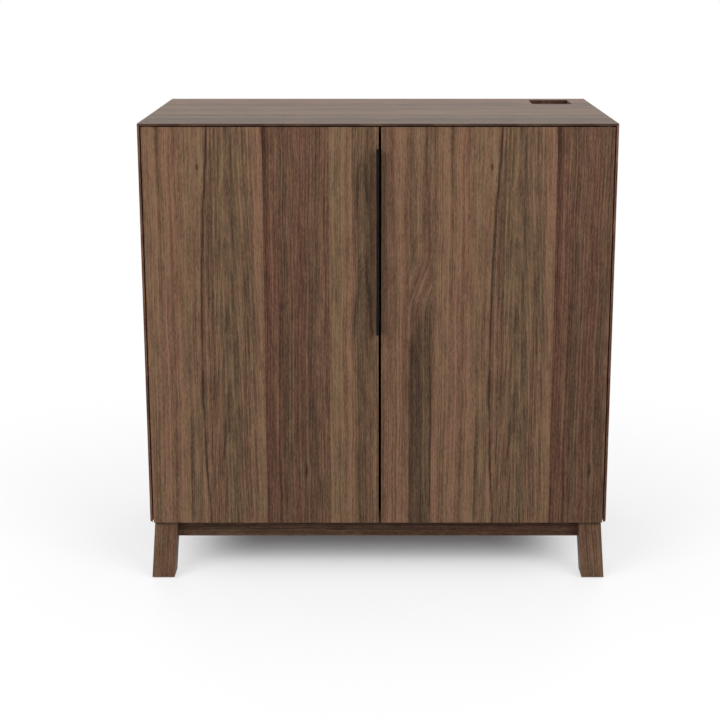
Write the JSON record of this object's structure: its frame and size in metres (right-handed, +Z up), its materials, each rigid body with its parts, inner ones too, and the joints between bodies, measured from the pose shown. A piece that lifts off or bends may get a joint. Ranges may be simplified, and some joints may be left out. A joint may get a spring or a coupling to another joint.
{
  "type": "cellarette",
  "caption": "Walnut cellarette: mitred case on a low base of splayed legs, inset doors on pivots, a black edge pull, a cord slot in the top, a shelf and rests for bottles and glasses.",
  "frame": {"origin": "on the floor, under the middle of the cabinet's bounding box", "axes": "+Z up, the doors face -Y, +X to the right of someone who faces the doors"},
  "size_m": [0.914, 0.531, 0.921],
  "materials": {
    "walnut_case": "satin oiled walnut veneer",
    "walnut_doors": "satin oiled walnut, grain upright",
    "walnut_base": "satin oiled solid walnut",
    "walnut_inside": "satin oiled solid walnut",
    "walnut_back": "satin walnut veneer on board",
    "pull_black": "matt black powder coat",
    "hinge_steel": "black finish on steel",
    "bright_steel": "bright zinc",
    "brass": "turned brass",
    "catch_plastic": "black moulded plastic",
    "rubber": "dark rubber",
    "nylon": "brown nylon"
  },
  "bodies": {
    "cabinet": {"top_panel": "walnut_case", "bottom_panel": "walnut_case", "left_side": "walnut_case", "right_side": "walnut_case", "back_panel": "walnut_back", "shelf": "walnut_inside", "shelf_pins": "bright_steel", "glass_rail_1": "walnut_inside", "glass_rail_2": "walnut_inside", "glass_rail_3": "walnut_inside", "glass_rail_4": "walnut_inside", "neck_rest": "walnut_inside", "body_rest": "walnut_inside", "lower_left_pivot_plate": "hinge_steel", "lower_right_pivot_plate": "hinge_steel", "upper_left_pivot_plate": "hinge_steel", "upper_right_pivot_plate": "hinge_steel", "lower_left_pivot_pin": "bright_steel", "lower_right_pivot_pin": "bright_steel", "upper_left_pivot_pin": "bright_steel", "upper_right_pivot_pin": "bright_steel", "left_catch": "catch_plastic", "left_bumper": "rubber", "right_catch": "catch_plastic", "right_bumper": "rubber", "front_left_leg": "walnut_base", "front_right_leg": "walnut_base", "rear_left_leg": "walnut_base", "rear_right_leg": "walnut_base", "front_left_glide": "nylon", "front_right_glide": "nylon", "rear_left_glide": "nylon", "rear_right_glide": "nylon", "front_rail": "walnut_base", "rear_rail": "walnut_base", "left_rail": "walnut_base", "right_rail": "walnut_base", "front_left_corner_block": "walnut_base", "front_right_corner_block": "walnut_base", "rear_left_corner_block": "walnut_base", "rear_right_corner_block": "walnut_base"},
    "left_leaf": {"left_door": "walnut_doors", "door_pull": "pull_black", "left_strike": "bright_steel", "lower_left_pivot_bush": "brass", "upper_left_pivot_bush": "brass"},
    "right_leaf": {"right_door": "walnut_doors", "right_strike": "bright_steel", "lower_right_pivot_bush": "brass", "upper_right_pivot_bush": "brass"}
  },
  "joints": [
    {"name": "left_door_hinge", "type": "hinge", "parent": "cabinet", "child": "left_leaf", "pos_m": [-0.4384, -0.2355, 0.5169], "axis": [0, 0, -1], "range_deg": [0, 110]},
    {"name": "right_door_hinge", "type": "hinge", "parent": "cabinet", "child": "right_leaf", "pos_m": [0.4384, -0.2355, 0.5169], "axis": [0, 0, 1], "range_deg": [0, 110]}
  ]
}
